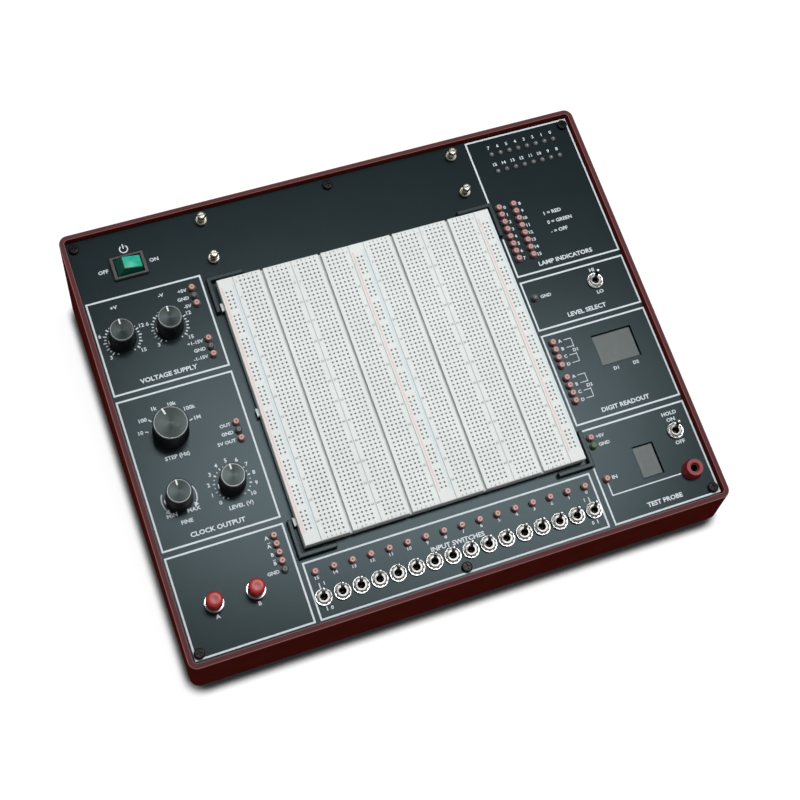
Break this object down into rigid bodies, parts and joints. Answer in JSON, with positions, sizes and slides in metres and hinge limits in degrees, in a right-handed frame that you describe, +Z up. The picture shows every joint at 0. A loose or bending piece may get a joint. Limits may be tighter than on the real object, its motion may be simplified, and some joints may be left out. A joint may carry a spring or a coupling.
{
  "type": "digital logic trainer",
  "caption": "Bench trainer for digital electronics: sloping case, printed panel with switches, knobs, terminals, lamps and digit windows, and a lift-out solderless breadboard.",
  "frame": {"origin": "middle of the case on the surface that the feet stand on", "axes": "+X along the front edge to the right, +Y to the back, +Z up. The panel rises towards the back by 9 degrees."},
  "size_m": [0.327, 0.2602, 0.0817],
  "materials": {
    "case_abs": "satin dark red moulded plastic",
    "panel": "charcoal paint with white print",
    "black_plastic": "black moulded plastic",
    "black_screw": "black steel screws",
    "foot_rubber": "black rubber",
    "nickel": "bright nickel plate",
    "lever_metal": "dark bright plate with a polished tip",
    "steel": "turned steel",
    "brass": "tarnished nickel over brass",
    "tin": "tinned contact metal",
    "circuit_board": "green solder mask",
    "terminal_red": "dull red plastic with paler tops",
    "terminal_ground": "black plastic, one of them green",
    "button_red": "glossy red plastic",
    "rocker_green": "green translucent plastic",
    "lamp_grey": "grey lens, unlit",
    "digit_face": "grey face, unlit",
    "breadboard": "off-white moulded plastic",
    "board_backing": "thin plate",
    "jack_red": "red plastic",
    "transformer": "varnished core and taped coil"
  },
  "bodies": {
    "trainer": {"banana_jack": "jack_red", "board_guides": "black_plastic", "board_standoffs": "brass", "bushing_nuts": "nickel", "button_housings": "nickel", "case": "case_abs", "display_modules": "digit_face", "feet": "foot_rubber", "front_panel": "panel", "ground_terminals": "terminal_ground", "inlet_pins": "tin", "jack_contact": "tin", "lamps": "lamp_grey", "main_board": "circuit_board", "mains_inlet": "black_plastic", "panel_screws": "black_screw", "post_collars": "brass", "post_screws": "brass", "pot_bodies": "steel", "red_terminals": "terminal_red", "rocker_housing": "black_plastic", "rotary_switch": "black_plastic", "terminal_contacts": "tin", "toggle_bodies": "steel", "toggle_nuts": "nickel", "transformer": "transformer"},
    "data_lever_15_body": {"data_lever_15": "lever_metal"},
    "data_lever_14_body": {"data_lever_14": "lever_metal"},
    "data_lever_13_body": {"data_lever_13": "lever_metal"},
    "data_lever_12_body": {"data_lever_12": "lever_metal"},
    "data_lever_11_body": {"data_lever_11": "lever_metal"},
    "data_lever_10_body": {"data_lever_10": "lever_metal"},
    "data_lever_9_body": {"data_lever_9": "lever_metal"},
    "data_lever_8_body": {"data_lever_8": "lever_metal"},
    "data_lever_7_body": {"data_lever_7": "lever_metal"},
    "data_lever_6_body": {"data_lever_6": "lever_metal"},
    "data_lever_5_body": {"data_lever_5": "lever_metal"},
    "data_lever_4_body": {"data_lever_4": "lever_metal"},
    "data_lever_3_body": {"data_lever_3": "lever_metal"},
    "data_lever_2_body": {"data_lever_2": "lever_metal"},
    "data_lever_1_body": {"data_lever_1": "lever_metal"},
    "data_lever_0_body": {"data_lever_0": "lever_metal"},
    "mode_lever_body": {"mode_lever": "lever_metal"},
    "memory_lever_body": {"memory_lever": "lever_metal"},
    "positive_volts_control": {"positive_volts_knob": "black_plastic", "positive_volts_shaft": "steel"},
    "negative_volts_control": {"negative_volts_knob": "black_plastic", "negative_volts_shaft": "steel"},
    "clock_rate_control": {"clock_rate_knob": "black_plastic", "clock_rate_shaft": "steel"},
    "clock_level_control": {"clock_level_knob": "black_plastic", "clock_level_shaft": "steel"},
    "clock_range_control": {"clock_range_knob": "black_plastic", "clock_range_shaft": "steel"},
    "power_rocker_body": {"power_rocker": "rocker_green"},
    "pulse_button_a_plunger": {"pulse_button_a": "button_red"},
    "pulse_button_b_plunger": {"pulse_button_b": "button_red"},
    "breadboard": {"socket_strips": "breadboard", "bus_strips": "breadboard", "board_plate": "board_backing"}
  },
  "joints": [
    {"name": "data_lever_15_throw", "type": "hinge", "parent": "trainer", "child": "data_lever_15_body", "pos_m": [-0.08224, -0.11272, 0.0358], "axis": [1, 0, 0], "range_deg": [0, 25]},
    {"name": "data_lever_14_throw", "type": "hinge", "parent": "trainer", "child": "data_lever_14_body", "pos_m": [-0.07127, -0.11272, 0.0358], "axis": [1, 0, 0], "range_deg": [0, 25]},
    {"name": "data_lever_13_throw", "type": "hinge", "parent": "trainer", "child": "data_lever_13_body", "pos_m": [-0.06031, -0.11272, 0.0358], "axis": [1, 0, 0], "range_deg": [0, 25]},
    {"name": "data_lever_12_throw", "type": "hinge", "parent": "trainer", "child": "data_lever_12_body", "pos_m": [-0.04934, -0.11272, 0.0358], "axis": [1, 0, 0], "range_deg": [0, 25]},
    {"name": "data_lever_11_throw", "type": "hinge", "parent": "trainer", "child": "data_lever_11_body", "pos_m": [-0.03838, -0.11272, 0.0358], "axis": [1, 0, 0], "range_deg": [0, 25]},
    {"name": "data_lever_10_throw", "type": "hinge", "parent": "trainer", "child": "data_lever_10_body", "pos_m": [-0.02741, -0.11272, 0.0358], "axis": [1, 0, 0], "range_deg": [0, 25]},
    {"name": "data_lever_9_throw", "type": "hinge", "parent": "trainer", "child": "data_lever_9_body", "pos_m": [-0.01645, -0.11272, 0.0358], "axis": [1, 0, 0], "range_deg": [0, 25]},
    {"name": "data_lever_8_throw", "type": "hinge", "parent": "trainer", "child": "data_lever_8_body", "pos_m": [-0.00548, -0.11272, 0.0358], "axis": [1, 0, 0], "range_deg": [0, 25]},
    {"name": "data_lever_7_throw", "type": "hinge", "parent": "trainer", "child": "data_lever_7_body", "pos_m": [0.00548, -0.11272, 0.0358], "axis": [1, 0, 0], "range_deg": [0, 25]},
    {"name": "data_lever_6_throw", "type": "hinge", "parent": "trainer", "child": "data_lever_6_body", "pos_m": [0.01645, -0.11272, 0.0358], "axis": [1, 0, 0], "range_deg": [0, 25]},
    {"name": "data_lever_5_throw", "type": "hinge", "parent": "trainer", "child": "data_lever_5_body", "pos_m": [0.02741, -0.11272, 0.0358], "axis": [1, 0, 0], "range_deg": [0, 25]},
    {"name": "data_lever_4_throw", "type": "hinge", "parent": "trainer", "child": "data_lever_4_body", "pos_m": [0.03838, -0.11272, 0.0358], "axis": [1, 0, 0], "range_deg": [0, 25]},
    {"name": "data_lever_3_throw", "type": "hinge", "parent": "trainer", "child": "data_lever_3_body", "pos_m": [0.04934, -0.11272, 0.0358], "axis": [1, 0, 0], "range_deg": [0, 25]},
    {"name": "data_lever_2_throw", "type": "hinge", "parent": "trainer", "child": "data_lever_2_body", "pos_m": [0.06031, -0.11272, 0.0358], "axis": [1, 0, 0], "range_deg": [0, 25]},
    {"name": "data_lever_1_throw", "type": "hinge", "parent": "trainer", "child": "data_lever_1_body", "pos_m": [0.07127, -0.11272, 0.0358], "axis": [1, 0, 0], "range_deg": [0, 25]},
    {"name": "data_lever_0_throw", "type": "hinge", "parent": "trainer", "child": "data_lever_0_body", "pos_m": [0.08224, -0.11272, 0.0358], "axis": [1, 0, 0], "range_deg": [0, 25]},
    {"name": "mode_lever_throw", "type": "hinge", "parent": "trainer", "child": "mode_lever_body", "pos_m": [0.1366, 0.01904, 0.05667], "axis": [1, 0, 0], "range_deg": [0, 25]},
    {"name": "memory_lever_throw", "type": "hinge", "parent": "trainer", "child": "memory_lever_body", "pos_m": [0.1475, -0.08269, 0.04055], "axis": [1, 0, 0], "range_deg": [0, 25]},
    {"name": "positive_volts_turn", "type": "hinge", "parent": "trainer", "child": "positive_volts_control", "pos_m": [-0.1444, 0.06234, 0.06393], "axis": [0, -0.1564, 0.9877], "range_deg": [-150, 150]},
    {"name": "negative_volts_turn", "type": "hinge", "parent": "trainer", "child": "negative_volts_control", "pos_m": [-0.1164, 0.06234, 0.06393], "axis": [0, -0.1564, 0.9877], "range_deg": [-150, 150]},
    {"name": "clock_rate_turn", "type": "hinge", "parent": "trainer", "child": "clock_rate_control", "pos_m": [-0.1411, -0.03604, 0.04835], "axis": [0, -0.1564, 0.9877], "range_deg": [-150, 150]},
    {"name": "clock_level_turn", "type": "hinge", "parent": "trainer", "child": "clock_level_control", "pos_m": [-0.1103, -0.03604, 0.04835], "axis": [0, -0.1564, 0.9877], "range_deg": [-150, 150]},
    {"name": "clock_range_turn", "type": "hinge", "parent": "trainer", "child": "clock_range_control", "pos_m": [-0.1343, 0.00199, 0.05437], "axis": [0, -0.1564, 0.9877], "range_deg": [-90, 60]},
    {"name": "power_rock", "type": "hinge", "parent": "trainer", "child": "power_rocker_body", "pos_m": [-0.1284, 0.10451, 0.06997], "axis": [0, 0.9877, 0.1564], "range_deg": [-34.8, 0]},
    {"name": "pulse_button_a_press", "type": "slide", "parent": "trainer", "child": "pulse_button_a_plunger", "axis": [0, 0.1564, -0.9877], "range_m": [0, 0.003], "stiffness_N_per_m": 300, "springref_m": -0.001},
    {"name": "pulse_button_b_press", "type": "slide", "parent": "trainer", "child": "pulse_button_b_plunger", "axis": [0, 0.1564, -0.9877], "range_m": [0, 0.003], "stiffness_N_per_m": 300, "springref_m": -0.001},
    {"name": "breadboard_lift", "type": "slide", "parent": "trainer", "child": "breadboard", "axis": [0, -0.1564, 0.9877], "range_m": [0, 0.03]}
  ]
}
